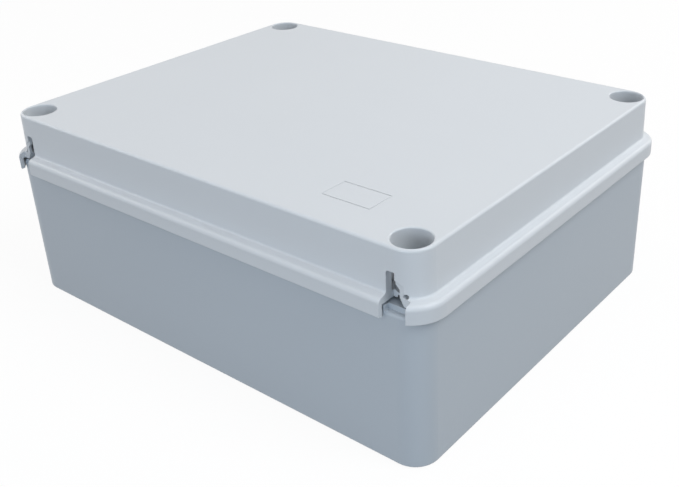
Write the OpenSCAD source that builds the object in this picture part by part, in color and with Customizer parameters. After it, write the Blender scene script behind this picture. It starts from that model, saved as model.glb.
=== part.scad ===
// Plastic junction box: a plain-walled base, and a flanged lid held by four quarter-turn screws.
// Millimetres, +Z up. The origin is on the underside, below the middle of the box.
// The front is the long side at -Y.

/* [Base] */
// Outside length of the base
base_l = 246; // [200:1:300]
// Outside width of the base
base_w = 194; // [160:1:240]
// Height of the base, from its underside to its rim
base_h = 71; // [50:1:110]
// Radius of the base's upright corners
base_corner_r = 11; // [9:0.5:13]
// Rounding of the base's lower edge
base_edge_r = 0.8; // [0.4:0.1:1.6]
// Rounding of the rim's outer edge
rim_edge_r = 1.2; // [0.4:0.1:1.6]
// Wall of the base
wall_t = 2.6; // [2.2:0.1:3.4]
// Floor of the base
floor_t = 3; // [2:0.1:5]

/* [Lid] */
// Height of the lid above its underside
lid_h = 23; // [19:0.2:34]
// How far the lid's wall stands in from the outside of the base
lid_step = 1.3; // [0.9:0.1:1.7]
// Radius of the lid's upright corners, at the flange
lid_corner_r = 11; // [9:0.5:13]
// How far the lid's wall leans in on the way up
lid_draft = 0.4; // [0.1:0.1:0.8]
// Rounding of the lid's top edge
lid_edge_r = 1.3; // [0.5:0.1:2.4]
// Wall of the lid
lid_wall_t = 2.2; // [1.8:0.1:2.6]
// Top plate of the lid
lid_top_t = 2.5; // [1.8:0.1:3.5]

/* [Flange] */
// How far the flange stands out from the lid's wall
flange_out = 4.3; // [4:0.05:6]
// Height of the flange's top above the lid's underside, at the lid's wall
flange_h = 3.6; // [3.2:0.05:6]
// How far the flange's top falls from the lid's wall to its shoulder
flange_fall = 0.7; // [0.5:0.05:1.2]
// Rounding between the lid's wall and the flange
flange_fillet_r = 1.2; // [0.6:0.1:2]
// Rounding of the flange's shoulder
shoulder_r = 2.2; // [1:0.1:2.4]
// Thickness of the skirt that hangs from the flange
skirt_t = 1.8; // [1.2:0.1:2]
// How far the skirt hangs below the lid's underside
skirt_drop = 5.1; // [2:0.1:6]
// Rounding of the skirt's lower edge
skirt_edge_r = 0.6; // [0.2:0.1:0.8]

/* [Seal and lip] */
// Width of the seal
seal_w = 2.8; // [2.2:0.1:3.2]
// Height of the seal
seal_h = 2.5; // [2:0.1:3.2]
// Gap that the seal holds open between the rim and the lid
rim_gap = 1; // [0.6:0.1:1.4]
// Room beside the seal in its groove
seal_play = 0.2; // [0.1:0.05:0.3]
// Thickness of the lip inside the rim
lip_t = 1.6; // [1.2:0.1:2.2]
// How far the lip hangs below the lid's underside
lip_drop = 5.5; // [3:0.1:8]
// Room between the lip and the base
lip_play = 0.6; // [0.4:0.1:1]

/* [Screw wells and pillars] */
// Distance of the screw axes from the outside of the base
screw_inset = 11.25; // [11:0.05:13]
// Bore of the wells
well_d = 15.7; // [14.4:0.1:16]
// Rounding of the wells' mouths
well_mouth_r = 0.6; // [0.2:0.1:1]
// Wall of the wells
well_wall_t = 2; // [1.6:0.1:2.2]
// Floor of the wells
well_floor_t = 3; // [2.6:0.1:4]
// Radius of the pillars that carry the screws
pillar_r = 13.2; // [13.2:0.1:16]
// Rounding where the pillars run into the walls
pillar_blend_r = 4; // [3:0.1:6]
// Plate that closes the top of each pillar
pillar_top_t = 4; // [3.4:0.1:6]

/* [Screws] */
// Diameter of the screw heads
head_d = 13; // [12.4:0.1:13.6]
// Height of the screw heads
head_h = 5; // [3.5:0.1:8]
// Edge break of the screw heads
head_edge = 0.6; // [0.2:0.1:1]
// Width of the driver slot
drive_w = 1.8; // [1:0.1:2.4]
// Depth of the driver slot
drive_deep = 2.4; // [1:0.1:3]
// Diameter of the screw shanks
shank_d = 7; // [6:0.1:7.6]
// Room round the shanks in the lid and the base
shank_play = 0.35; // [0.3:0.05:0.5]
// Reach of the locking lugs from the screw axis
lug_reach = 5.4; // [5:0.1:5.6]
// Width of the locking lugs
lug_w = 3; // [2:0.1:3.6]
// Height of the locking lugs
lug_h = 2.4; // [1.5:0.1:4]
// Room over and beside the lugs
lug_play = 0.45; // [0.35:0.05:0.6]
// Length of the tapered tip
tip_h = 2; // [1:0.1:4]

/* [Screw retainers] */
// Thickness of the retainers
retainer_t = 0.9; // [0.6:0.1:1]
// Depth of the groove in the shank
retainer_groove = 0.6; // [0.4:0.1:0.9]
// Room round the retainers
retainer_play = 0.12; // [0.08:0.02:0.2]
// Width of the split that lets a retainer spring open
retainer_split_w = 1.4; // [0.8:0.1:2]

/* [Hinge notches] */
// Width of the gap in the flange
notch_w = 10.4; // [9:0.1:12]
// Middle of the gap, past the screw axis towards the corner
notch_shift = 0.7; // [0.4:0.1:1.6]
// Width of the slot's upper part
slot_w = 3.8; // [2.4:0.1:4.4]
// Height of the slot above the lid's underside
slot_h = 13; // [11:0.2:15]
// Rounding of the slot's upper corner
slot_corner_r = 1.2; // [0.4:0.1:1.8]
// Width of the slot's lower part
slot_low_w = 5.6; // [4.6:0.1:6.4]
// Height of the slot's lower part
slot_low_h = 6.5; // [5:0.1:8]
// Depth of the slot behind the lid's wall
slot_deep = 4.6; // [4:0.1:5]
// Depth of the sunk face beside the slot
lug_sink = 0.8; // [0.2:0.1:1.2]
// Height of the sunk face above the lid's underside, beside the slot
lug_sink_h = 10; // [8:0.1:10.6]
// How far the sunk face's upper edge falls towards the corner
lug_sink_fall = 3.4; // [1:0.1:4]
// Bore of the sealing-wire hole
wire_hole_d = 2; // [1.4:0.1:2.2]
// Height of the sealing-wire hole above the lid's underside
wire_hole_h = 4.2; // [4.2:0.1:6]
// Distance of the sealing-wire hole from the gap's far side
wire_hole_in = 2.3; // [1.8:0.1:2.8]
// How far the rim of the base dips in a notch
rim_dip = 2.3; // [1.5:0.1:2.8]

/* [Label field] */
// Length of the bare label field
label_l = 24; // [16:1:40]
// Width of the bare label field
label_w = 14; // [8:1:20]
// Middle of the field, from the middle of the lid to the right
label_x = 74; // [50:1:80]
// Middle of the field, from the middle of the lid to the front
label_y = 70.5; // [40:0.5:72]
// Width of the fine line round the field
label_line_w = 0.4; // [0.3:0.1:1]
// Depth of the fine line round the field
label_line_deep = 0.15; // [0.1:0.05:0.5]

/* [Wall fixing] */
// Spacing of the wall-fixing holes along the box
fixing_l = 200; // [150:1:208]
// Spacing of the wall-fixing holes across the box
fixing_w = 112; // [80:1:114]
// Bore of the wall-fixing holes
fixing_hole_d = 5.2; // [4:0.1:6.5]
// Thickness under the fixing screw's head
fixing_seat_t = 3; // [2:0.1:5]
// Diameter of the pocket for the fixing screw's head
fixing_pocket_d = 12; // [11:0.1:13]
// Depth of the pocket for the fixing screw's head
fixing_pocket_h = 8; // [7:0.1:12]
// Wall of the bosses round the pockets
fixing_boss_t = 2; // [1.4:0.1:3]
// Thickness of the caps' heads
cap_head_t = 1.6; // [1:0.1:3]
// Length of the caps' plugs
cap_plug_h = 3; // [2:0.1:3.5]
// Wall of the caps' plugs
cap_wall_t = 1.2; // [0.8:0.1:2]
// Room round the caps' plugs
cap_play = 0.1; // [0.05:0.01:0.2]

/* [Mounting plate bosses] */
// Spacing of the plate bosses along the box
plate_l = 164; // [120:1:166]
// Spacing of the plate bosses across the box
plate_w = 152; // [120:1:160]
// Diameter of the plate bosses
plate_boss_d = 9; // [7:0.1:12]
// Height of the plate bosses above the floor
plate_boss_h = 10; // [6:0.5:20]
// Bore of the pilot holes
pilot_d = 3.2; // [2:0.1:4.5]
// Depth of the pilot holes
pilot_deep = 9; // [4:0.5:9]
// Thickness of the ribs that steady the plate bosses
rib_t = 1.6; // [1:0.1:2.4]
// Height of the ribs above the floor
rib_h = 8; // [4:0.5:12]
// Reach of the ribs from the bosses' axes
rib_reach = 8; // [6:0.5:9]

/* [Hidden] */
$fn = 96;
// Overlap of cutting shapes past the faces that they cut
over = 1;
corner_names = ["front_left", "front_right", "rear_right", "rear_left"];
// Signs of x and y at each corner, in the order of the names
corner_signs = [[-1, -1], [1, -1], [1, 1], [-1, 1]];

shell_colour = [0.79, 0.81, 0.83];
seal_colour = [0.22, 0.23, 0.24];
screw_colour = [0.52, 0.54, 0.56];
cap_colour = [0.70, 0.72, 0.74];

// Half sizes of the lid at the flange, and of the rectangle between its corners' centres
lid_half_l = base_l / 2 - lid_step;
lid_half_w = base_w / 2 - lid_step;
lid_core_l = lid_half_l - lid_corner_r;
lid_core_w = lid_half_w - lid_corner_r;

// Half sizes of the flange, whose corners share their centres with the lid's
flange_half_l = lid_half_l + flange_out;
flange_half_w = lid_half_w + flange_out;
flange_corner_r = lid_corner_r + flange_out;
// How deep a round dips into the faces beside it, as a share of its radius, to meet them at an angle
round_sink = 0.03;

// Heights
lid_z = base_h + rim_gap;
lid_top_z = lid_z + lid_h;
flange_z = lid_z + flange_h;
skirt_z = lid_z - skirt_drop;
lip_z = lid_z - lip_drop;
lid_ceiling_z = lid_top_z - lid_top_t;
groove_h = seal_h - rim_gap;
pillar_plate_z = base_h - pillar_top_t;
well_floor_z = lid_z + well_floor_t;
lug_top_z = pillar_plate_z - lug_play;
lug_low_z = lug_top_z - lug_h;

rim_dip_z = base_h - rim_dip;

// The seal lies along the middle of the rim: its edges, inwards from the base's inner wall
seal_out = -wall_t / 2 - seal_w / 2;
seal_in = -wall_t / 2 + seal_w / 2;

// Screw axes, and the room for a lug in a keyed hole
screw_x = base_l / 2 - screw_inset;
screw_y = base_w / 2 - screw_inset;
key_reach = lug_reach + lug_play;
key_w = lug_w + 2 * lug_play;
shank_hole_d = shank_d + 2 * shank_play;

// Retainers sit in a recess under the well floor, wide enough for the keyed hole
retainer_r = key_reach;
retainer_recess_h = retainer_t + 2 * retainer_play;
retainer_neck_r = shank_d / 2 - retainer_groove;

// Edges of a hinge notch, along the box from the screw axis towards the corner
notch_in = notch_shift - notch_w / 2;
notch_out = notch_shift + notch_w / 2;
// How much wider the slot gets at each of its two steps, and the height of its foot
slot_step = slot_low_w - slot_w;
slot_foot_h = slot_low_h / 2;

fixing_top_z = floor_t + fixing_seat_t + fixing_pocket_h;
fixing_boss_d = fixing_pocket_d + 2 * fixing_boss_t;

// Copies a child to all four quarters by mirroring
module in_quarters() {
  for (flip_x = [0, 1])
    for (flip_y = [0, 1])
      mirror([flip_x, 0, 0])
        mirror([0, flip_y, 0])
          children();
}

// Moves a child to the point of one corner's quarter that lies x and y from the box's middle
module at_corner(i, x, y) {
  translate([corner_signs[i][0] * x, corner_signs[i][1] * y, 0])
    children();
}

// Rounded rectangle in plan
module rounded_plan(half_l, half_w, r) {
  square([2 * half_l, 2 * half_w - 2 * r], center = true);
  square([2 * half_l - 2 * r, 2 * half_w], center = true);
  for (sign = corner_signs)
    translate([sign[0] * (half_l - r), sign[1] * (half_w - r)])
      circle(r = r);
}

// Solid block whose sides follow a section: the section's x runs out from the corners' centres,
// and its y is the height
module sided_block(core_l, core_w, low_z, high_z) {
  translate([-core_l, -core_w, low_z])
    cube([2 * core_l, 2 * core_w, high_z - low_z]);
  for (flip = [0, 1]) {
    mirror([flip, 0, 0])
      translate([core_l, core_w, 0])
        rotate([90, 0, 0])
          linear_extrude(2 * core_w)
            children();
    mirror([0, flip, 0])
      translate([-core_l, core_w, 0])
        rotate([90, 0, 90])
          linear_extrude(2 * core_l)
            children();
  }
  in_quarters()
    translate([core_l, core_w, 0])
      rotate_extrude(angle = 90)
        children();
}

// Slice of a circle between two directions less than 120 degrees apart, so that a triangle with
// sides of two and a half radii covers it
module pie(r, from, to) {
  reach = 2.5 * r;
  intersection() {
    circle(r = r);
    polygon([
      [0, 0],
      [reach * cos(from), reach * sin(from)],
      [reach * cos(to), reach * sin(to)]
    ]);
  }
}

// Plan of one pillar round its screw axis, with rounds where it runs into the two walls
module pillar_plan(r, blend_r, reach_l, reach_w) {
  circle(r = r);
  translate([-r, 0])
    square([r + reach_l + over, reach_w + over]);
  translate([0, -r])
    square([reach_l + over, r + reach_w + over]);
  translate([-r - blend_r, reach_w - blend_r])
    difference() {
      square(blend_r + over);
      circle(r = blend_r);
    }
  translate([reach_l - blend_r, -r - blend_r])
    difference() {
      square(blend_r + over);
      circle(r = blend_r);
    }
}

// Plan of the wiring space, shrunk by inset on every side: it bends inwards round the four pillars
module chamber_plan(inset) {
  half_l = base_l / 2 - wall_t - inset;
  half_w = base_w / 2 - wall_t - inset;
  difference() {
    square([2 * half_l, 2 * half_w], center = true);
    in_quarters()
      translate([screw_x, screw_y])
        pillar_plan(pillar_r + inset, pillar_blend_r - inset, half_l - screw_x, half_w - screw_y);
  }
}

// Hole that lets a shank and its two lugs through
module keyed_hole(low_z, high_z) {
  translate([0, 0, low_z])
    cylinder(d = shank_hole_d, h = high_z - low_z);
  intersection() {
    translate([0, 0, low_z])
      cylinder(r = key_reach, h = high_z - low_z);
    translate([-key_reach, -key_w / 2, low_z])
      cube([2 * key_reach, key_w, high_z - low_z]);
  }
}

// Section through the base's wall, up to a rim at the given height
module base_section(rim_z) {
  low = base_edge_r;
  high = rim_z - rim_edge_r;
  polygon([
    [0, 0],
    [base_corner_r - low, 0],
    [base_corner_r - low, low],
    [base_corner_r, low],
    [base_corner_r, high],
    [base_corner_r - rim_edge_r, high],
    [base_corner_r - rim_edge_r, rim_z],
    [0, rim_z]
  ]);
  translate([base_corner_r - low, low])
    pie(low, -90, 0);
  translate([base_corner_r - rim_edge_r, high])
    pie(rim_edge_r, 0, 90);
}

// Outside of the base: a block up to the dips in the rim, and one up to the rim itself
module base_block() {
  core_l = base_l / 2 - base_corner_r;
  core_w = base_w / 2 - base_corner_r;
  sided_block(core_l, core_w, 0, rim_dip_z)
    base_section(rim_dip_z);
  difference() {
    sided_block(core_l, core_w, 0, base_h)
      base_section(base_h);
    in_quarters()
      translate([screw_x + notch_in, base_w / 2 - wall_t, rim_dip_z - rim_edge_r])
        cube([notch_w, wall_t + over, rim_dip + rim_edge_r + over]);
  }
}

// Hollow of a pillar, open below
module pillar_hollow() {
  translate([0, 0, -over])
    linear_extrude(pillar_plate_z + over)
      difference() {
        rounded_plan(base_l / 2 - wall_t, base_w / 2 - wall_t, base_corner_r - wall_t);
        chamber_plan(-wall_t);
      }
}

// Boss round a wall-fixing hole, with a pocket for the screw's head
module fixing_boss() {
  cylinder(d = fixing_boss_d, h = fixing_top_z);
}

module fixing_bore() {
  translate([0, 0, -over])
    cylinder(d = fixing_hole_d, h = fixing_top_z + over);
  translate([0, 0, floor_t + fixing_seat_t])
    cylinder(d = fixing_pocket_d, h = fixing_pocket_h + over);
}

// Boss for the screws of a mounting plate, with two low ribs
module plate_boss() {
  cylinder(d = plate_boss_d, h = floor_t + plate_boss_h);
  for (turn = [0, 90])
    rotate(turn)
      translate([0, rib_t / 2, 0])
        rotate([90, 0, 0])
          linear_extrude(rib_t)
            polygon([
              [-rib_reach, 0],
              [rib_reach, 0],
              [rib_reach, floor_t],
              [0, floor_t + rib_h],
              [-rib_reach, floor_t]
            ]);
}

module base() {
  color(shell_colour)
    difference() {
      union() {
        difference() {
          base_block();
          translate([0, 0, floor_t])
            linear_extrude(base_h)
              chamber_plan(0);
        }
        for (sign = corner_signs) {
          translate([sign[0] * fixing_l / 2, sign[1] * fixing_w / 2, 0])
            fixing_boss();
          translate([sign[0] * plate_l / 2, sign[1] * plate_w / 2, 0])
            plate_boss();
        }
      }
      pillar_hollow();
      for (i = [0:3]) {
        at_corner(i, screw_x, screw_y)
          keyed_hole(pillar_plate_z - over, base_h + over);
        at_corner(i, fixing_l / 2, fixing_w / 2)
          fixing_bore();
        at_corner(i, plate_l / 2, plate_w / 2)
          translate([0, 0, floor_t + plate_boss_h - pilot_deep])
            cylinder(d = pilot_d, h = pilot_deep + over);
      }
    }
}

// Section through the lid's side: lip room, skirt with a rounded edge, rounded shoulder, falling
// flange, rounded foot, leaning wall and rounded top edge
module lid_section() {
  lip_room = flange_corner_r - skirt_t - over / 2;
  skirt_x = flange_corner_r - skirt_edge_r;
  edge_x = lid_corner_r - lid_draft - lid_edge_r;
  edge_z = lid_top_z - lid_edge_r;
  // The falling face runs from the wall's foot to the shoulder's round
  shoulder_x = flange_corner_r - shoulder_r;
  shoulder_z = flange_z - flange_fall - shoulder_r;
  shoulder_touch = shoulder_r * (1 - round_sink);
  run = shoulder_x - lid_corner_r;
  drop = flange_z - shoulder_z;
  slope = atan2(drop, run) - asin(shoulder_touch / norm([run, drop]));
  // Centre of the foot's round, which touches the wall and the falling face
  foot_touch = flange_fillet_r * (1 - round_sink);
  foot_x = lid_corner_r + foot_touch;
  foot_z = flange_z + foot_touch * (1 / cos(slope) - tan(slope));
  polygon([
    [0, lip_z],
    [lip_room, lip_z],
    [lip_room, skirt_z],
    [skirt_x, skirt_z],
    [skirt_x, skirt_z + skirt_edge_r],
    [flange_corner_r, skirt_z + skirt_edge_r],
    [flange_corner_r, shoulder_z],
    [shoulder_x, shoulder_z],
    [shoulder_x + shoulder_touch * sin(slope), shoulder_z + shoulder_touch * cos(slope)],
    [lid_corner_r, flange_z],
    [edge_x + lid_edge_r, edge_z],
    [edge_x, edge_z],
    [edge_x, lid_top_z],
    [0, lid_top_z]
  ]);
  translate([skirt_x, skirt_z + skirt_edge_r])
    pie(skirt_edge_r, -90, 0);
  translate([shoulder_x, shoulder_z])
    pie(shoulder_r, 0, 90);
  difference() {
    translate([lid_corner_r - over, lid_z])
      square([over + foot_touch * (1 - sin(slope)), foot_z - lid_z]);
    translate([foot_x, foot_z])
      circle(r = flange_fillet_r);
  }
  translate([edge_x, edge_z])
    pie(lid_edge_r, 0, 90);
}

// Room under the lid for the rim of the base, between the skirt and the lip
module rim_room() {
  translate([0, 0, lip_z - over])
    linear_extrude(lid_z - lip_z + over)
      difference() {
        rounded_plan(flange_half_l - skirt_t, flange_half_w - skirt_t, flange_corner_r - skirt_t);
        chamber_plan(lip_play);
      }
}

module seal_groove() {
  translate([0, 0, lid_z - over])
    linear_extrude(groove_h + over)
      difference() {
        chamber_plan(seal_out - seal_play);
        chamber_plan(seal_in + seal_play);
      }
}

// Hollow of the lid: inside the lip below, and out to the wall, round the four wells, above
module lid_hollow() {
  translate([0, 0, lip_z - over])
    linear_extrude(lid_ceiling_z - lip_z + over)
      chamber_plan(lip_play + lip_t);
  translate([0, 0, flange_z])
    linear_extrude(lid_ceiling_z - flange_z)
      difference() {
        rounded_plan(lid_half_l - lid_wall_t, lid_half_w - lid_wall_t, lid_corner_r - lid_wall_t);
        for (sign = corner_signs)
          translate([sign[0] * screw_x, sign[1] * screw_y])
            circle(d = well_d + 2 * well_wall_t);
      }
}

// Well with a rounded mouth, the keyed hole in its floor and the recess for the retainer under it
module well_bore() {
  well_r = well_d / 2;
  rotate_extrude()
    difference() {
      union() {
        translate([0, well_floor_z])
          square([well_r, lid_top_z + over - well_floor_z]);
        translate([well_r - over, lid_top_z - well_mouth_r])
          square([over + well_mouth_r, well_mouth_r + over]);
      }
      translate([well_r + well_mouth_r, lid_top_z - well_mouth_r])
        circle(r = well_mouth_r);
    }
  keyed_hole(lid_z - over, well_floor_z + over);
  translate([0, 0, lid_z - over])
    cylinder(r = retainer_r + retainer_play, h = retainer_recess_h + over);
}

// Hinge notch at a corner, drawn for the rear right: the gap in the flange, the stepped slot
// that opens into the well, the sunk face beside it and the hole for a sealing wire
module hinge_notch() {
  out_y = flange_half_w + over;
  face_y = lid_half_w - lug_sink;
  slot_y = lid_half_w - slot_deep;
  translate([screw_x + notch_in, lid_half_w, lip_z - over])
    cube([notch_w, out_y - lid_half_w, flange_z + flange_fillet_r + over - lip_z]);
  translate([screw_x + notch_in, out_y, lid_z])
    rotate([90, 0, 0])
      linear_extrude(out_y - slot_y) {
        polygon([
          [0, -over],
          [slot_low_w + slot_step, -over],
          [slot_low_w + slot_step, 0],
          [slot_low_w, slot_foot_h],
          [slot_low_w, slot_low_h],
          [slot_w, slot_low_h + slot_step],
          [slot_w, slot_h],
          [slot_corner_r, slot_h],
          [slot_corner_r, slot_h - slot_corner_r],
          [0, slot_h - slot_corner_r]
        ]);
        translate([slot_corner_r, slot_h - slot_corner_r])
          pie(slot_corner_r, 90, 180);
      }
  translate([screw_x + notch_in + slot_w, out_y, lid_z])
    rotate([90, 0, 0])
      linear_extrude(out_y - face_y)
        polygon([
          [0, -over],
          [notch_w - slot_w, -over],
          [notch_w - slot_w, lug_sink_h - lug_sink_fall],
          [0, lug_sink_h]
        ]);
  translate([screw_x + notch_out - wire_hole_in, out_y, lid_z + wire_hole_h])
    rotate([90, 0, 0])
      cylinder(d = wire_hole_d, h = out_y - slot_y);
}

// Fine line round the bare label field, just sunk into the lid's top
module label_line() {
  translate([label_x, -label_y, lid_top_z - label_line_deep])
    linear_extrude(label_line_deep + over)
      difference() {
        square([label_l, label_w], center = true);
        square([label_l - 2 * label_line_w, label_w - 2 * label_line_w], center = true);
      }
}

module lid() {
  color(shell_colour)
    difference() {
      sided_block(lid_core_l, lid_core_w, lip_z, lid_top_z)
        lid_section();
      rim_room();
      seal_groove();
      lid_hollow();
      for (i = [0:3])
        at_corner(i, screw_x, screw_y)
          well_bore();
      in_quarters()
        hinge_notch();
      label_line();
    }
}

module lid_seal() {
  color(seal_colour)
    translate([0, 0, base_h])
      linear_extrude(seal_h)
        difference() {
          chamber_plan(seal_out);
          chamber_plan(seal_in);
        }
}

// Quarter-turn screw, drawn free to lift: its lugs point along the box, as the keyed holes do
module lid_screw(i) {
  head_r = head_d / 2;
  head_z = well_floor_z + head_h;
  neck_z = lid_z + retainer_play;
  shank_r = shank_d / 2;
  color(screw_colour)
    at_corner(i, screw_x, screw_y)
      difference() {
        union() {
          rotate_extrude()
            polygon([
              [0, lug_low_z - tip_h],
              [shank_r / 2, lug_low_z - tip_h],
              [shank_r, lug_low_z],
              [shank_r, neck_z],
              [retainer_neck_r, neck_z],
              [retainer_neck_r, neck_z + retainer_t],
              [shank_r, neck_z + retainer_t],
              [shank_r, well_floor_z],
              [head_r, well_floor_z],
              [head_r, head_z - head_edge],
              [head_r - head_edge, head_z],
              [0, head_z]
            ]);
          intersection() {
            translate([0, 0, lug_low_z])
              cylinder(r = lug_reach, h = lug_h);
            translate([-lug_reach, -lug_w / 2, lug_low_z])
              cube([2 * lug_reach, lug_w, lug_h]);
          }
        }
        translate([-head_d, -drive_w / 2, head_z - drive_deep])
          cube([2 * head_d, drive_w, drive_deep + over]);
      }
}

// Push-on washer in the shank's groove, split so that it can spring over the shank
module screw_retainer(i) {
  color(seal_colour)
    at_corner(i, screw_x, screw_y)
      translate([0, 0, lid_z + 2 * retainer_play])
        difference() {
          cylinder(r = retainer_r - retainer_play, h = retainer_t - 2 * retainer_play);
          translate([0, 0, -over])
            cylinder(r = retainer_neck_r + retainer_play, h = retainer_t + 2 * over);
          translate([0, -retainer_split_w / 2, -over])
            cube([retainer_r, retainer_split_w, retainer_t + 2 * over]);
        }
}

// Cap over a wall-fixing hole: a head on the boss, and a hollow plug in the pocket
module fixing_cap(i) {
  plug_r = fixing_pocket_d / 2 - cap_play;
  head_r = fixing_boss_d / 2;
  head_edge_t = cap_head_t / 2;
  color(cap_colour)
    at_corner(i, fixing_l / 2, fixing_w / 2)
      translate([0, 0, fixing_top_z])
        rotate_extrude()
          polygon([
            [0, 0],
            [plug_r - cap_wall_t, 0],
            [plug_r - cap_wall_t, -cap_plug_h],
            [plug_r, -cap_plug_h],
            [plug_r, 0],
            [head_r, 0],
            [head_r, head_edge_t],
            [head_r - head_edge_t, cap_head_t],
            [0, cap_head_t]
          ]);
}

base();
lid();
lid_seal();
for (i = [0:3]) {
  lid_screw(i);
  screw_retainer(i);
  fixing_cap(i);
}
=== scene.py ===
import math

import bpy
import numpy as np
from mathutils import Matrix, Vector


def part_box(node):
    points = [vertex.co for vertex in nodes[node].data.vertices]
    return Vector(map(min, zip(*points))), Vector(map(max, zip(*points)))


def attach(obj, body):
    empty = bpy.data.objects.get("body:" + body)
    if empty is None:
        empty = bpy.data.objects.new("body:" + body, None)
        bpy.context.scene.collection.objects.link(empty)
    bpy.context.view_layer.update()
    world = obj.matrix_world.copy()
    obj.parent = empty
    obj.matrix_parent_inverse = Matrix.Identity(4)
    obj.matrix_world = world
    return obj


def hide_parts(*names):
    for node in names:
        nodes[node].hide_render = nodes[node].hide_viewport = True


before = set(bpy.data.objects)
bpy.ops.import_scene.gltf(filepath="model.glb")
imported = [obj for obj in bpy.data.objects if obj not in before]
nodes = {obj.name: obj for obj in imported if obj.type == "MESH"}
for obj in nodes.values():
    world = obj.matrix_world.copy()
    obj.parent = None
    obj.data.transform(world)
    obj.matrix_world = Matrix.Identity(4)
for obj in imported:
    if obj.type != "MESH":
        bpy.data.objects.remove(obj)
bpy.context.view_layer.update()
scene = bpy.context.scene
cornerNames = ["front_left", "front_right", "rear_right", "rear_left"]
print("frame loaded:", len(nodes), "nodes")

# Camera, in metres and degrees
camera = {
    "place": (0.2862, -0.3174, 0.2532),
    "azimuth": 38.93,  # from the front towards the right end
    "elevation": 27.00,
    "roll": -1.84,
    "lens": 49.97,  # millimetres, as the sensor is
    "sensor": 36.0,
    "shift": (-0.0640, -0.0469),  # shares of the picture's width
    "clip": (0.01, 50.0),
}


# Its back points away from the box along azimuth and elevation, and the roll turns it about that line
def makeCamera(spec):
    azimuth, elevation, roll = (math.radians(spec[key]) for key in ("azimuth", "elevation", "roll"))
    flat = math.cos(elevation)
    back = Vector((math.sin(azimuth) * flat, -math.cos(azimuth) * flat, math.sin(elevation)))
    level = Vector((math.cos(azimuth), math.sin(azimuth), 0.0))
    rise = back.cross(level)
    right = level * math.cos(roll) + rise * math.sin(roll)
    up = rise * math.cos(roll) - level * math.sin(roll)
    data = bpy.data.cameras.new("photoCamera")
    data.sensor_width = spec["sensor"]
    data.lens = spec["lens"]
    data.shift_x, data.shift_y = spec["shift"]
    data.clip_start, data.clip_end = spec["clip"]
    viewer = bpy.data.objects.new("photoCamera", data)
    turn = Matrix((right, up, back)).transposed().to_4x4()
    viewer.matrix_world = Matrix.Translation(spec["place"]) @ turn
    scene.collection.objects.link(viewer)
    scene.camera = viewer


makeCamera(camera)
scene.view_settings.view_transform = "Standard"
print("camera set")

# Shader helpers
pureWhite = (1.0, 1.0, 1.0, 1.0)
mixFactor, mixFirst, mixSecond, mixResult = 0, 6, 7, 2  # sockets of a Mix node for colours


# Each value names a property of the node, or one of its inputs with _ for a space
def addNode(tree, kind, place, **values):
    made = tree.nodes.new(kind)
    made.location = place
    for key, value in values.items():
        if hasattr(made, key):
            setattr(made, key, value)
        else:
            made.inputs[key.replace("_", " ")].default_value = value
    return made


def addNoise(tree, place, vector, values):
    made = addNode(tree, "ShaderNodeTexNoise", place, **values)
    tree.links.new(vector, made.inputs["Vector"])
    return made.outputs["Fac"]


# The whole, plus a share of a part
def addShare(tree, place, part, share, whole):
    made = addNode(tree, "ShaderNodeMath", place, operation="MULTIPLY_ADD")
    made.inputs[1].default_value = share
    tree.links.new(part, made.inputs[0])
    tree.links.new(whole, made.inputs[2])
    return made.outputs["Value"]


def joinValues(tree, place, operation, first, second):
    made = addNode(tree, "ShaderNodeMath", place, operation=operation)
    tree.links.new(first, made.inputs[0])
    tree.links.new(second, made.inputs[1])
    return made.outputs["Value"]


def mixColours(tree, place, factor, first, second):
    made = addNode(tree, "ShaderNodeMix", place, data_type="RGBA")
    made.inputs[mixFirst].default_value = (*first, 1.0)
    made.inputs[mixSecond].default_value = (*second, 1.0)
    tree.links.new(factor, made.inputs[mixFactor])
    return made


def mixShaders(tree, place, factor, first, second):
    made = addNode(tree, "ShaderNodeMixShader", place)
    tree.links.new(factor, made.inputs["Fac"])
    tree.links.new(first, made.inputs[1])
    tree.links.new(second, made.inputs[2])
    return made.outputs["Shader"]


def newGroup(name, inputs, outputs):
    group = bpy.data.node_groups.new(name, "ShaderNodeTree")
    for label, kind, value in inputs:
        socket = group.interface.new_socket(name=label, in_out="INPUT", socket_type=kind)
        socket.default_value = value
    for label, kind in outputs:
        group.interface.new_socket(name=label, in_out="OUTPUT", socket_type=kind)
    start = addNode(group, "NodeGroupInput", (-900, 0))
    end = addNode(group, "NodeGroupOutput", (700, 0))
    return group, start, end


def placeGroup(tree, group, place, **values):
    made = tree.nodes.new("ShaderNodeGroup")
    made.node_tree = group
    made.location = place
    for key, value in values.items():
        made.inputs[key].default_value = value
    return made


def newMaterial(name):
    material = bpy.data.materials.new(name)
    material.use_nodes = True
    return material


# Moulded skin: broad mottling, flow streaks along the length, and a fine peel with a finer grain in it
skinNoise = {
    "mottle": {"Scale": 9.0, "Detail": 3.0, "Roughness": 0.55},
    "stretch": (6.0, 60.0, 90.0),  # the least along the box, so that the flow runs that way
    "flow": {"Scale": 1.0, "Detail": 2.0, "Roughness": 0.5},
    "peel": {"Scale": 620.0, "Detail": 2.0, "Roughness": 0.45},
    "grain": {"Scale": 3200.0, "Detail": 1.0, "Roughness": 0.5},
    "flowInTone": 0.35,
    "flowInGloss": 0.5,
    "grainInPeel": 0.3,
}


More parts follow.
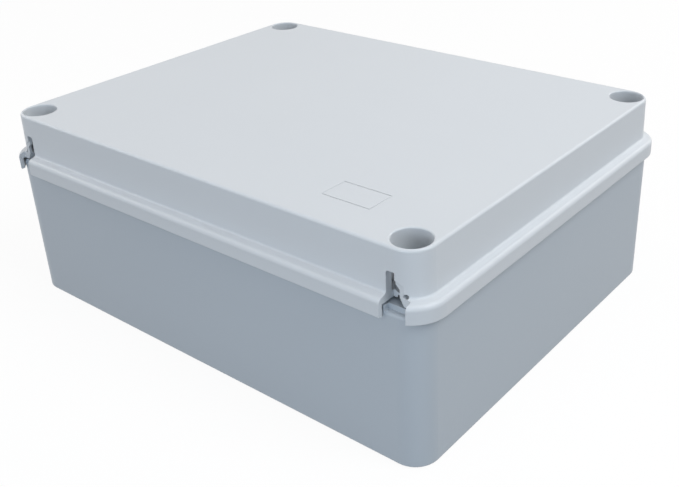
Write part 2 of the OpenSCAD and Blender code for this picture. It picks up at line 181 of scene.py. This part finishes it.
def mouldedSkin(spec):
    group, start, end = newGroup(
        "mouldedSkin",
        [("Peel", "NodeSocketFloat", 1.0)],
        [("Tone", "NodeSocketFloat"), ("Gloss", "NodeSocketFloat"), ("Height", "NodeSocketFloat")],
    )
    link = group.links.new
    spot = addNode(group, "ShaderNodeTexCoord", (-900, 300)).outputs["Object"]
    stretch = addNode(group, "ShaderNodeMapping", (-750, 100), Scale=spec["stretch"])
    link(spot, stretch.inputs["Vector"])
    mottle = addNoise(group, (-600, 400), spot, spec["mottle"])
    flow = addNoise(group, (-600, 100), stretch.outputs["Vector"], spec["flow"])
    peel = addNoise(group, (-600, -200), spot, spec["peel"])
    grain = addNoise(group, (-600, -450), spot, spec["grain"])
    fine = addShare(group, (-350, -300), grain, spec["grainInPeel"], peel)
    link(addShare(group, (-150, 300), flow, spec["flowInTone"], mottle), end.inputs["Tone"])
    link(addShare(group, (-150, 0), flow, spec["flowInGloss"], fine), end.inputs["Gloss"])
    height = joinValues(group, (-150, -250), "MULTIPLY", fine, start.outputs["Peel"])
    link(height, end.inputs["Height"])
    return group


# Soft edges: the normal of a small round over every sharp edge, and a mask of where that round lies, for a
# painted highlight
edgeRound = {
    "samples": 6,
    "turned": 0.75,  # cosine between the round's normal and the face's at which the mask is full
}


def softEdges(spec):
    group, start, end = newGroup(
        "softEdges",
        [("Radius", "NodeSocketFloat", 0.0)],
        [("Normal", "NodeSocketVector"), ("Edge", "NodeSocketFloat")],
    )
    link = group.links.new
    rounding = addNode(group, "ShaderNodeBevel", (-500, 100), samples=spec["samples"])
    link(start.outputs["Radius"], rounding.inputs["Radius"])
    link(rounding.outputs["Normal"], end.inputs["Normal"])
    facing = addNode(group, "ShaderNodeNewGeometry", (-500, -150))
    turned = addNode(group, "ShaderNodeVectorMath", (-250, -50), operation="DOT_PRODUCT")
    link(rounding.outputs["Normal"], turned.inputs[0])
    link(facing.outputs["Normal"], turned.inputs[1])
    full = spec["turned"]
    mask = addNode(group, "ShaderNodeMapRange", (0, -50), clamp=True, From_Min=1.0, From_Max=full)
    link(turned.outputs["Value"], mask.inputs["Value"])
    link(mask.outputs["Result"], end.inputs["Edge"])
    return group


skinGroup = mouldedSkin(skinNoise)
edgeGroup = softEdges(edgeRound)

# Moulded plastics: two near tones of one colour, gloss that wanders a little, and a painted highlight of
# paler colour on the soft edges.
# The depth of the peel's bump and the edges' round are in metres.
plastics = {
    "lidPlastic": {
        "tone": (0.612, 0.646, 0.681), "deep": (0.587, 0.622, 0.659), "edge": (0.67, 0.705, 0.74),
        "rough": (0.34, 0.44), "peel": 1.0, "bump": 0.00002, "ior": 1.52, "round": 0.0004,
    },
    # The base is the lid's plastic with painted shade: its tones are darker for the lesser light that
    # reaches its walls
    "baseShadedPlastic": {
        "tone": (0.446, 0.497, 0.549), "deep": (0.427, 0.478, 0.531), "edge": (0.52, 0.556, 0.60),
        "rough": (0.34, 0.44), "peel": 1.0, "bump": 0.00002, "ior": 1.52, "round": 0.0004,
    },
    "screwPlastic": {
        "tone": (0.20, 0.212, 0.225), "deep": (0.165, 0.177, 0.19), "edge": (0.26, 0.27, 0.285),
        "rough": (0.38, 0.52), "peel": 1.4, "bump": 0.00003, "ior": 1.52, "round": 0.0003,
    },
    "capPlastic": {
        "tone": (0.46, 0.485, 0.51), "deep": (0.43, 0.455, 0.48), "edge": (0.53, 0.555, 0.58),
        "rough": (0.36, 0.5), "peel": 1.2, "bump": 0.00003, "ior": 1.5, "round": 0.0003,
    },
    "retainerPlastic": {
        "tone": (0.035, 0.036, 0.038), "deep": (0.025, 0.026, 0.028), "edge": (0.06, 0.062, 0.065),
        "rough": (0.42, 0.58), "peel": 1.4, "bump": 0.00003, "ior": 1.5, "round": 0.00015,
    },
}


def plasticMaterial(name, spec):
    material = newMaterial(name)
    tree = material.node_tree
    link = tree.links.new
    shader = tree.nodes["Principled BSDF"]
    shader.inputs["IOR"].default_value = spec["ior"]
    skin = placeGroup(tree, skinGroup, (-900, 200), Peel=spec["peel"])
    edges = placeGroup(tree, edgeGroup, (-900, -200), Radius=spec["round"])
    tones = mixColours(tree, (-600, 300), skin.outputs["Tone"], spec["deep"], spec["tone"])
    # Painted highlight: the edge mask mixes a paler colour in along every soft edge
    paintedEdgeHighlight = mixColours(tree, (-350, 250), edges.outputs["Edge"], spec["tone"], spec["edge"])
    link(tones.outputs[mixResult], paintedEdgeHighlight.inputs[mixFirst])
    link(paintedEdgeHighlight.outputs[mixResult], shader.inputs["Base Color"])
    smoothest, dullest = spec["rough"]
    wander = addNode(tree, "ShaderNodeMapRange", (-600, 0), To_Min=smoothest, To_Max=dullest)
    link(skin.outputs["Gloss"], wander.inputs["Value"])
    link(wander.outputs["Result"], shader.inputs["Roughness"])
    bump = addNode(tree, "ShaderNodeBump", (-300, -250), Strength=1.0, Distance=spec["bump"])
    link(skin.outputs["Height"], bump.inputs["Height"])
    link(edges.outputs["Normal"], bump.inputs["Normal"])
    link(bump.outputs["Normal"], shader.inputs["Normal"])
    return material


# Closed-cell seal: dark, dull, with small cells
sealFoam = {
    "tone": (0.030, 0.031, 0.033),
    "deep": (0.012, 0.012, 0.013),
    "cell": 1400.0,  # cells to the metre
    "rough": 0.82,
    "bump": 0.00012,  # metres
    "bumpStrength": 0.8,
}


def foamMaterial(name, spec):
    material = newMaterial(name)
    tree = material.node_tree
    link = tree.links.new
    shader = tree.nodes["Principled BSDF"]
    shader.inputs["Roughness"].default_value = spec["rough"]
    spot = addNode(tree, "ShaderNodeTexCoord", (-900, 0))
    cells = addNode(tree, "ShaderNodeTexVoronoi", (-700, 0), Scale=spec["cell"])
    link(spot.outputs["Object"], cells.inputs["Vector"])
    tones = mixColours(tree, (-400, 150), cells.outputs["Distance"], spec["tone"], spec["deep"])
    link(tones.outputs[mixResult], shader.inputs["Base Color"])
    strength, depth = spec["bumpStrength"], spec["bump"]
    bump = addNode(tree, "ShaderNodeBump", (-400, -200), Strength=strength, Distance=depth)
    link(cells.outputs["Distance"], bump.inputs["Height"])
    link(bump.outputs["Normal"], shader.inputs["Normal"])
    return material


materials = {name: plasticMaterial(name, spec) for name, spec in plastics.items()}
materials["sealFoam"] = foamMaterial("sealFoam", sealFoam)
finishes = {"base": "baseShadedPlastic", "lid": "lidPlastic", "lid_seal": "sealFoam"}
for cornerName in cornerNames:
    finishes["lid_screw_" + cornerName] = "screwPlastic"
    finishes["screw_retainer_" + cornerName] = "retainerPlastic"
    finishes["fixing_cap_" + cornerName] = "capPlastic"
for nodeName, finish in finishes.items():
    slots = nodes[nodeName].data.materials
    slots.clear()
    slots.append(materials[finish])
print("materials:", len(materials))

# Lid seal, in metres: a soft cord pressed into the lid's groove, its cut ends meeting on the right side
sealCord = {
    "width": 0.0028,
    "bend": 0.0119,  # radius of its middle line round a screw
    "turn": 0.0053,  # radius of its middle line where it leaves or meets a wall
    "square": 3.0,  # exponent of the pressed section: 2 is an ellipse, more is squarer
    "joint": 0.0002,  # gap between the cut ends
    "nip": (0.12, 0.0005),  # how much the ends shrink, and over what length
    "swell": (0.05, 0.019, 0.0073),  # depth of the soft unevenness, and its two wavelengths
    "step": 0.0008,  # between two rings
    "around": 24,  # points on a ring
    "perArc": 40,  # points on each arc of the path
}


# Points at even angles on a circle about a centre, from one angle to the other in degrees
def arcPoints(centre, radius, start, end, count):
    angle = np.radians(np.linspace(start, end, count))
    return np.stack([centre[0] + radius * np.cos(angle), centre[1] + radius * np.sin(angle)], axis=1)


# Middle line of the seal: up the right wall, a turn, a bend round the screw, a turn, along the rear wall.
# That quarter is mirrored to the left, and the half is turned by 180 degrees to close the loop.
def sealPath(spec):
    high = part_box("lid_seal")[1]
    screwBox = np.array(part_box("lid_screw_rear_right"))
    screwX, screwY = screwBox.mean(axis=0)[:2]
    wallX, wallY = high[0] - spec["width"] / 2, high[1] - spec["width"] / 2
    bend, turn, count = spec["bend"], spec["turn"], spec["perArc"]
    quarter = np.concatenate([
        [(wallX, 0.0)],
        arcPoints((wallX - turn, screwY - bend - turn), turn, 0, 90, count),
        arcPoints((screwX, screwY), bend, 270, 180, count),
        arcPoints((screwX - bend - turn, wallY - turn), turn, 0, 90, count),
        [(0.0, wallY)],
    ])
    half = np.concatenate([quarter, quarter[-2::-1] * (-1, 1)])
    return np.concatenate([half, -half[1:]])


# Grid of the cord's surface. One parameter runs along the path at even steps, the other round the section,
# a superellipse: the cosine and sine of the angle, each raised to 2 over the exponent with its sign kept.
# The section shrinks by up to the swell's depth, where the sum of two sines is least, and by the nip,
# which fades away from the ends as an exponential.
def sealGrid(spec):
    path = sealPath(spec)
    reach = np.concatenate([[0.0], np.cumsum(np.hypot(*np.diff(path, axis=0).T))])
    count = int(reach[-1] / spec["step"])
    along = np.linspace(spec["joint"] / 2, reach[-1] - spec["joint"] / 2, count)
    x, y = np.interp(along, reach, path[:, 0]), np.interp(along, reach, path[:, 1])
    slopeX, slopeY = np.gradient(x), np.gradient(y)
    pace = np.hypot(slopeX, slopeY)
    outX, outY = slopeY / pace, -slopeX / pace
    angle = np.linspace(0, 2 * np.pi, spec["around"], endpoint=False)
    power = 2 / spec["square"]
    across = np.sign(np.cos(angle)) * np.abs(np.cos(angle)) ** power
    upward = np.sign(np.sin(angle)) * np.abs(np.sin(angle)) ** power
    depth, longWave, shortWave = spec["swell"]
    waves = np.sin(2 * np.pi * along / longWave) + np.sin(2 * np.pi * along / shortWave)  # from -2 to 2
    nip, nipLength = spec["nip"]
    fromEnd = np.minimum(along - along[0], along[-1] - along)
    fullness = 1 - depth * (2 - waves) / 4 - nip * np.exp(-fromEnd / nipLength)
    low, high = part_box("lid_seal")
    halfWide = spec["width"] / 2 * fullness[:, None] * across
    halfTall = (high[2] - low[2]) / 2 * fullness[:, None] * upward
    return np.stack([
        x[:, None] + outX[:, None] * halfWide,
        y[:, None] + outY[:, None] * halfWide,
        (low[2] + high[2]) / 2 + halfTall,
    ], axis=-1)


# A tube from a grid of rings: quads between neighbouring rings, and one flat face on each end
def makeTube(name, grid):
    rings, around = grid.shape[:2]
    index = np.arange(rings * around).reshape(rings, around)
    after = np.roll(index, -1, axis=1)
    quads = np.stack([index[:-1], index[1:], after[1:], after[:-1]], axis=-1).reshape(-1, 4)
    faces = quads.tolist() + [index[0].tolist(), index[-1, ::-1].tolist()]
    mesh = bpy.data.meshes.new(name)
    mesh.from_pydata(grid.reshape(-1, 3), [], faces)
    smooth = np.ones(len(faces), dtype=bool)
    smooth[-2:] = False  # the two ends
    mesh.polygons.foreach_set("use_smooth", smooth)
    tube = bpy.data.objects.new(name, mesh)
    scene.collection.objects.link(tube)
    return tube


sealBead = makeTube("sealBead", sealGrid(sealCord))
sealBead.data.materials.append(materials["sealFoam"])
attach(sealBead, "lid")
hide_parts("lid_seal")
print("seal:", len(sealBead.data.polygons), "faces")

# Floor and light, in metres and watts
floorSpec = {
    "half": 4.0,
    "rise": -0.0002,  # just under the box
    "bounce": 0.2,  # paleness to the light that it throws back
    "shown": 0.95,  # paleness to the rays of the white background
    "white": 0.92,  # share of plain white for those rays, where the rest keeps the shadow
}
skySpec = {"colour": (0.97, 0.98, 1.0), "strength": 0.35}
lampAim = (0.0, 0.0, 0.05)
lamps = {
    "rightHigh": {"place": (0.9, 0.1, 1.0), "size": 0.7, "power": 8.4, "colour": (0.95, 0.98, 1.0)},
    "over": {"place": (0.0, 0.0, 1.5), "size": 1.0, "power": 3.7, "colour": (1.0, 0.95, 0.92)},
    "frontLow": {"place": (-0.1, -0.9, 0.28), "size": 0.4, "power": 1.2, "colour": (0.98, 0.99, 1.0)},
    "cornerLow": {"place": (0.42, -0.85, 0.2), "size": 0.3, "power": 1.3, "colour": (0.6, 0.79, 1.0)},
    "frontNear": {"place": (0.2, -0.4, 0.1), "size": 0.15, "power": 0.11, "colour": (0.92, 0.97, 1.0)},
    "rearMid": {"place": (0.35, 0.95, 0.6), "size": 0.6, "power": 2.8, "colour": (1.0, 0.95, 0.9)},
    "leftMid": {"place": (-1.0, -0.25, 0.5), "size": 0.5, "power": 2.2, "colour": (1.0, 0.98, 0.96)},
}


# Rays that see the white background: straight from the camera, mirrored, or let through
def whiteRays(tree):
    ray = addNode(tree, "ShaderNodeLightPath", (-600, 0)).outputs
    seen = joinValues(tree, (-400, 0), "MAXIMUM", ray["Is Camera Ray"], ray["Is Glossy Ray"])
    return joinValues(tree, (-250, 0), "MAXIMUM", seen, ray["Is Transmission Ray"])


def makeFloor(spec):
    half, rise = spec["half"], spec["rise"]
    corners = [(-half, -half, rise), (half, -half, rise), (half, half, rise), (-half, half, rise)]
    mesh = bpy.data.meshes.new("studioFloor")
    mesh.from_pydata(corners, [], [(0, 1, 2, 3)])
    floor = bpy.data.objects.new("studioFloor", mesh)
    scene.collection.objects.link(floor)
    material = newMaterial("paleFloor")
    tree = material.node_tree
    tree.nodes.clear()
    seen = whiteRays(tree)
    paint = mixColours(tree, (-100, 200), seen, [spec["bounce"]] * 3, [spec["shown"]] * 3)
    dull = addNode(tree, "ShaderNodeBsdfDiffuse", (0, 100))
    tree.links.new(paint.outputs[mixResult], dull.inputs["Color"])
    bright = addNode(tree, "ShaderNodeEmission", (0, -100), Color=pureWhite, Strength=1.0)
    share = addNode(tree, "ShaderNodeMath", (-100, 0), operation="MULTIPLY")
    share.inputs[1].default_value = spec["white"]
    tree.links.new(seen, share.inputs[0])
    white = share.outputs["Value"]
    mix = mixShaders(tree, (300, 0), white, dull.outputs["BSDF"], bright.outputs["Emission"])
    out = addNode(tree, "ShaderNodeOutputMaterial", (600, 0))
    tree.links.new(mix, out.inputs["Surface"])
    mesh.materials.append(material)


def makeSky(spec):
    world = bpy.data.worlds.new("softStudio")
    scene.world = world
    world.use_nodes = True
    tree = world.node_tree
    tree.nodes.clear()
    colour, strength = (*spec["colour"], 1.0), spec["strength"]
    lit = addNode(tree, "ShaderNodeBackground", (0, 100), Color=colour, Strength=strength)
    white = addNode(tree, "ShaderNodeBackground", (0, -100), Color=pureWhite, Strength=1.0)
    seen = whiteRays(tree)
    mix = mixShaders(tree, (300, 0), seen, lit.outputs["Background"], white.outputs["Background"])
    out = addNode(tree, "ShaderNodeOutputWorld", (600, 0))
    tree.links.new(mix, out.inputs["Surface"])


def makeLamp(name, spec):
    data = bpy.data.lights.new(name, "AREA")
    data.shape = "SQUARE"
    data.size = spec["size"]
    data.energy = spec["power"]
    data.color = spec["colour"]
    lamp = bpy.data.objects.new(name, data)
    aim = Vector(lampAim) - Vector(spec["place"])
    turn = aim.to_track_quat("-Z", "Y").to_matrix().to_4x4()
    lamp.matrix_world = Matrix.Translation(spec["place"]) @ turn
    scene.collection.objects.link(lamp)


makeFloor(floorSpec)
makeSky(skySpec)
for lampName, lampSpec in lamps.items():
    makeLamp(lampName, lampSpec)
print("studio ready:", len(lamps), "lamps")
